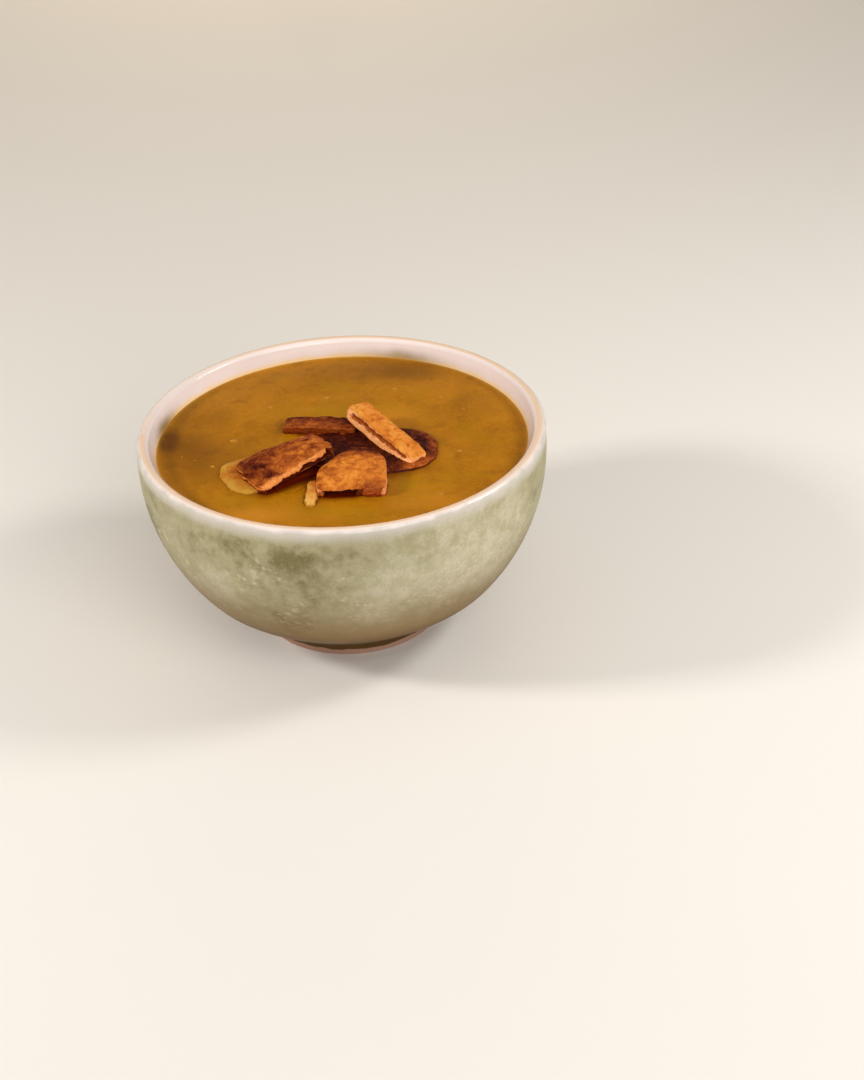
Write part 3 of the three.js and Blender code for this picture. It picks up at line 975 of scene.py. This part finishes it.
def hemmed_in(x, y):
    """Share of the directions along the soup in which bread stands close by, or 1 under bread."""
    start = Vector((x, y, SOUP_LEVEL + HEM_HEIGHT))
    if bread_tree.ray_cast(start, Vector((0, 0, 1)), HEM_REACH)[0] is not None:
        return 1
    hits = 0
    for i in range(HEM_RAYS):
        angle = math.tau * i / HEM_RAYS
        way = Vector((math.cos(angle), math.sin(angle), 0))
        hits += bread_tree.ray_cast(start, way, HEM_REACH)[0] is not None
    return hits / HEM_RAYS


def make_soup():
    bm = turned(soup_profile(), SOUP_STEPS)
    oil, close, shallow, tone, hemmed = value_layers(
        bm, "oil", "close", "shallow", "tone", "hemmed"
    )
    top = [vert for vert in bm.verts if vert.co.z > SOUP_LEVEL - 0.01]
    for vert in top:
        x, y, _ = vert.co
        vert.co.z = soup_top(x, y)
        far = bread_tree.find_nearest(vert.co, BREAD_SEARCH)[3]
        if far is not None:
            # Painted shade between and under the bread
            vert[hemmed] = max(smooth(hemmed_in(x, y), *HEM_SHARES), shade(x, y))
            if in_bread(vert.co):
                vert[close] = 1
                vert.co.z += max(BREAD_RISE - SUNK_SLOPE * far, SUNK_DEEPEST)
            else:
                vert[close] = math.exp(-far / CLOSE_REACH)
                vert.co.z += BREAD_RISE * math.exp(-far / BREAD_REACH)
        vert[oil] = min(patched(OIL, x, y), 1)
        vert[tone] = patched(TONES, x, y)
        vert[shallow] = math.exp((math.hypot(x, y) - SOUP_EDGE) / SHALLOW_REACH)
    soup = finished(bm, "lentil_soup", soup_finish())
    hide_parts("soup")


make_soup()


# ---- Bits of lentil and bread on the soup ----
# The larger bits: x, y and radius, mm
BITS = (
    (-40, 5.6, 1.4), (35.2, -40.9, 1.1), (42.6, -10.5, 0.9), (37, 31.8, 0.8),
    (-6, 36, 1.1), (-27, 30, 0.9), (20, 40, 1.0), (-47, -13, 0.9),
)
BIT_SHAPE = (1.2, 0.9, 0.6)    # length, width and height, as shares of a ball's
BIT_SUNK = 0.3                 # share of its radius that a bit's middle lies under the soup's top
BIT_LUMPS = 0.3                # share of its radius that a bit is uneven by
BIT_TURN = 1.7                 # radians from one bit to the next
SMALL_BITS = 14
SMALL_BIT_RADIUS = (0.25, 0.45)
SMALL_BIT_SEED = 21
CLEAR_OF_WALL = 3              # mm
CLEAR_OF_BREAD = 2             # mm


def small_bits():
    """Places and sizes of the fine bits, clear of the bread and the wall."""
    draw = random.Random(SMALL_BIT_SEED)
    bits = []
    while len(bits) < SMALL_BITS:
        radius = (SOUP_EDGE - CLEAR_OF_WALL) * math.sqrt(draw.random())
        angle = draw.uniform(0, math.tau)
        x = radius * math.cos(angle)
        y = radius * math.sin(angle)
        size = draw.uniform(*SMALL_BIT_RADIUS)
        place = Vector((x, y, SOUP_LEVEL))
        if bread_tree.find_nearest(place, CLEAR_OF_BREAD)[0] is None:
            bits.append((x, y, size))
    return bits


def bits_finish():
    finish = Finish("soup_bits", IOR=1.4)
    finish.colour(finish.blend(finish.noise(1.5), rgb(180, 118, 22), rgb(200, 138, 42)))
    finish.rough(finish.span(finish.noise(0.6), 0.3, 0.7, 0.25, 0.45))
    finish.bump(finish.noise(0.4, 3), 0.06)
    return finish.material


def make_bits():
    bm = bmesh.new()
    flat = Matrix.Diagonal((*BIT_SHAPE, 1))
    for i, (x, y, radius) in enumerate(BITS + tuple(small_bits())):
        fineness = 3 if i < len(BITS) else 2
        made = bmesh.ops.create_icosphere(bm, subdivisions=fineness, radius=radius)
        for vert in made["verts"]:
            vert.co *= 1 + BIT_LUMPS * grain(vert.co, radius, i, 2)
        place = Matrix.Translation((x, y, soup_top(x, y) - BIT_SUNK * radius))
        turn = Matrix.Rotation(BIT_TURN * i, 4, "Z")
        bmesh.ops.transform(bm, matrix=place @ turn @ flat, verts=made["verts"])
    bits = finished(bm, "soup_bits", bits_finish())


make_bits()


# ---- Floor and light ----
FLOOR_REACH = 4                # metres each way
AIM = Vector((0, 0, 0.05))     # where the lights point
ROOM_COLOUR = (1.0, 0.96, 0.91, 1)
ROOM_STRENGTH = 0.22


def floor_finish():
    finish = Finish("floor", roughness=0.6)
    finish.colour(finish.blend(finish.noise(300, 2), rgb(240, 238, 235), rgb(243, 241, 238)))
    return finish.material


def make_floor():
    bm = bmesh.new()
    bmesh.ops.create_grid(bm, x_segments=4, y_segments=4, size=FLOOR_REACH)
    mesh = bpy.data.meshes.new("floor")
    bm.to_mesh(mesh)
    bm.free()
    mesh.materials.append(floor_finish())
    floor = bpy.data.objects.new("floor", mesh)
    bpy.context.collection.objects.link(floor)


def soft_light(name, azimuth, elevation, distance, size, power, colour, mirrored=True):
    """A square soft light that faces the bowl. Azimuth 0 is +X and 90 is +Y. One that isn't
    mirrored leaves no highlight."""
    data = bpy.data.lights.new(name, "AREA")
    data.size = size
    data.energy = power
    data.color = colour
    light = bpy.data.objects.new(name, data)
    level = math.cos(math.radians(elevation))
    towards = Vector((
        level * math.cos(math.radians(azimuth)),
        level * math.sin(math.radians(azimuth)),
        math.sin(math.radians(elevation)),
    ))
    light.location = AIM + towards * distance
    light.rotation_euler = towards.to_track_quat("Z", "Y").to_euler()
    light.visible_glossy = mirrored
    bpy.context.collection.objects.link(light)


def light_scene():
    soft_light("key", 0, 40, 0.7, 0.16, 1.9, (1.0, 0.95, 0.88))
    soft_light("left", -168, 32, 0.9, 0.14, 4.6, (1.0, 0.94, 0.86), mirrored=False)
    soft_light("front", -66, 30, 1.2, 0.8, 8.0, (1.0, 0.96, 0.9))
    soft_light("back", 92, 16, 1.0, 0.5, 1.6, (1.0, 0.78, 0.5), mirrored=False)
    world = bpy.data.worlds.new("room")
    world.use_nodes = True
    background = world.node_tree.nodes["Background"]
    background.inputs["Color"].default_value = ROOM_COLOUR
    background.inputs["Strength"].default_value = ROOM_STRENGTH
    bpy.context.scene.world = world
    bpy.context.scene.view_settings.view_transform = "Standard"


make_floor()
light_scene()
